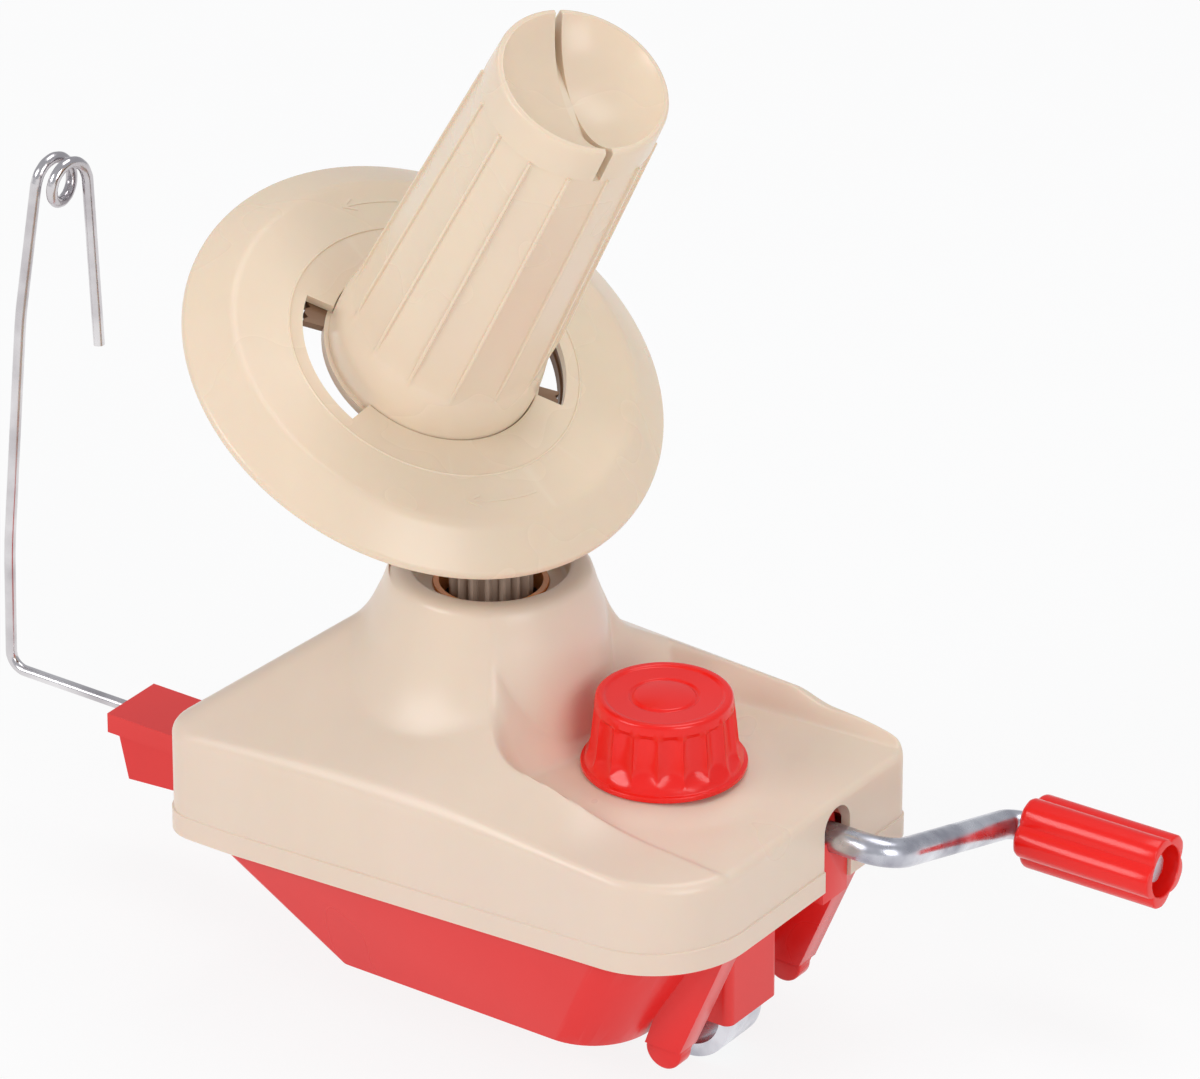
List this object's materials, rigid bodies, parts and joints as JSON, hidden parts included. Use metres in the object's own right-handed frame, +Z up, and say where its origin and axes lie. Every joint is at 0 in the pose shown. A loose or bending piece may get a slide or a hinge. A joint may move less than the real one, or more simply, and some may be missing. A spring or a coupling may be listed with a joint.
{
  "type": "yarn ball winder",
  "caption": "Hand-cranked yarn ball winder with a tilted ribbed tube on a round dish, a wire yarn guide and a table clamp worked by a knob.",
  "frame": {"origin": "on the flat underside of the casing, the face that rests on the table, straight under the upright axis of the rotor", "axes": "+X along the housing towards the crank, +Y towards the back of the housing, +Z up from the table"},
  "size_m": [0.2724, 0.1214, 0.2374],
  "materials": {
    "cream_plastic": "moulded, smooth",
    "red_plastic": "moulded, smooth",
    "gear_plastic": "moulded, plain",
    "bearing_plastic": "moulded, plain",
    "bright_wire": "drawn and plated",
    "plated_steel": "zinc plated",
    "amber_plastic": "moulded, plain"
  },
  "bodies": {
    "housing": {"top_cover": "cream_plastic", "cover_screws": "plated_steel", "base_shell": "red_plastic", "clamp_guide": "red_plastic", "edge_stop_front": "red_plastic", "edge_stop_back": "red_plastic", "wire_arm": "red_plastic", "neck_ring": "amber_plastic", "neck_post": "gear_plastic", "foot_bearing": "bearing_plastic", "idler_post": "bearing_plastic", "idler_clip": "plated_steel", "crank_bearing_inner": "red_plastic", "crank_bearing_outer": "red_plastic"},
    "crank": {"crank_rod": "plated_steel", "crown_gear": "bearing_plastic", "gear_pin": "plated_steel", "grip_washer": "plated_steel"},
    "grip": {"crank_grip": "red_plastic"},
    "idler": {"idler_gear": "bearing_plastic"},
    "rotor": {"rotor_shaft": "plated_steel", "rotor_pinion": "bearing_plastic", "pinion_collar": "plated_steel", "rotor_clip": "plated_steel", "carrier_arm": "gear_plastic", "spindle": "plated_steel", "spindle_clip": "plated_steel"},
    "spool": {"dish": "cream_plastic", "ring_hub": "gear_plastic", "hub_screws": "plated_steel"},
    "tube": {"winding_tube": "cream_plastic"},
    "knob": {"clamp_knob": "red_plastic", "clamp_screw": "plated_steel"},
    "hook": {"clamp_hook": "plated_steel", "clamp_nut": "plated_steel"},
    "wire": {"guide_wire": "bright_wire"}
  },
  "joints": [
    {"name": "crank_turn", "type": "hinge", "parent": "housing", "child": "crank", "pos_m": [0.08, 0.013, 0.0392], "axis": [1, 0, 0], "continuous": true},
    {"name": "grip_turn", "type": "hinge", "parent": "crank", "child": "grip", "pos_m": [0.10119, 0.06159, 0.02527], "axis": [0.9986, 0.0503, -0.0144], "continuous": true},
    {"name": "idler_turn", "type": "hinge", "parent": "housing", "child": "idler", "pos_m": [0.00229, 0.013, 0.06], "axis": [0, 0, 1], "continuous": true},
    {"name": "rotor_turn", "type": "hinge", "parent": "housing", "child": "rotor", "pos_m": [0, 0, 0.06], "axis": [0, 0, 1], "continuous": true},
    {"name": "spool_turn", "type": "hinge", "parent": "rotor", "child": "spool", "pos_m": [0, 0, 0.162], "axis": [0.5018, -0.1223, 0.8563], "continuous": true},
    {"name": "tube_twist", "type": "hinge", "parent": "spool", "child": "tube", "pos_m": [0, 0, 0.162], "axis": [0.5018, -0.1223, 0.8563], "range_deg": [0, 55]},
    {"name": "knob_turn", "type": "hinge", "parent": "housing", "child": "knob", "pos_m": [0.046, 0, 0.06], "axis": [0, 0, 1], "range_deg": [0, 3600]},
    {"name": "hook_slide", "type": "slide", "parent": "housing", "child": "hook", "axis": [0, 0, 1], "range_m": [-0.025, 0]},
    {"name": "wire_swing", "type": "hinge", "parent": "housing", "child": "wire", "pos_m": [-0.095, 0, 0.0192], "axis": [1, 0, 0], "range_deg": [-90, 90]}
  ],
  "couplings": [
    {"joint": "idler_turn", "follows": "crank_turn", "ratio": -3.3333},
    {"joint": "rotor_turn", "follows": "crank_turn", "ratio": 3.3333},
    {"joint": "spool_turn", "follows": "crank_turn", "ratio": -0.7619},
    {"joint": "hook_slide", "follows": "knob_turn", "m_per_rad": -0.00039789}
  ]
}
